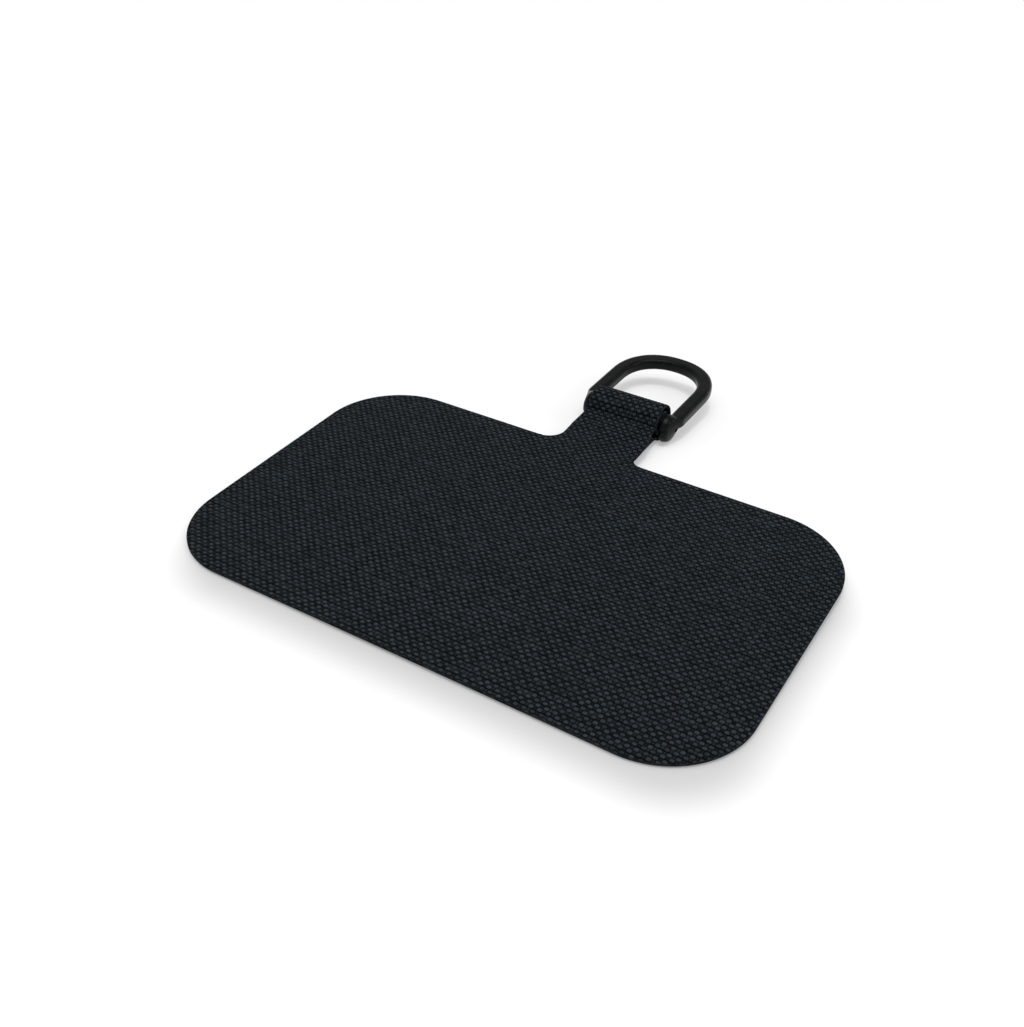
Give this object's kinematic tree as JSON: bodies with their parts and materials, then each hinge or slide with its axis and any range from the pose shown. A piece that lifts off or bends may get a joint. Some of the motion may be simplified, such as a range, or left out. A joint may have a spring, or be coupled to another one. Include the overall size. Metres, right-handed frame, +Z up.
{
  "type": "phone strap tab",
  "caption": "Woven cloth tab that lies between a phone and its case; its neck comes out of the charging port and holds a swinging metal D-ring for a strap.",
  "frame": {"origin": "middle of the whole part on the surface it rests on", "axes": "+Y from the patch through the neck to the ring, +X across the patch, +Z up from the patch's outer face"},
  "size_m": [0.065, 0.0638, 0.0046],
  "materials": {
    "charcoal_weave": "matte plain weave",
    "black_finish": "satin",
    "black_steel": "satin"
  },
  "bodies": {
    "tab": {"tab_sheet": "charcoal_weave"},
    "ring": {"d_ring": "black_finish", "ring_pin": "black_steel"}
  },
  "joints": [
    {"name": "ring_swing", "type": "hinge", "parent": "tab", "child": "ring", "pos_m": [-0.00108, 0.01782, 0.0023], "axis": [0.9997, -0.0251, -0.0006], "range_deg": [-150, 160]}
  ]
}
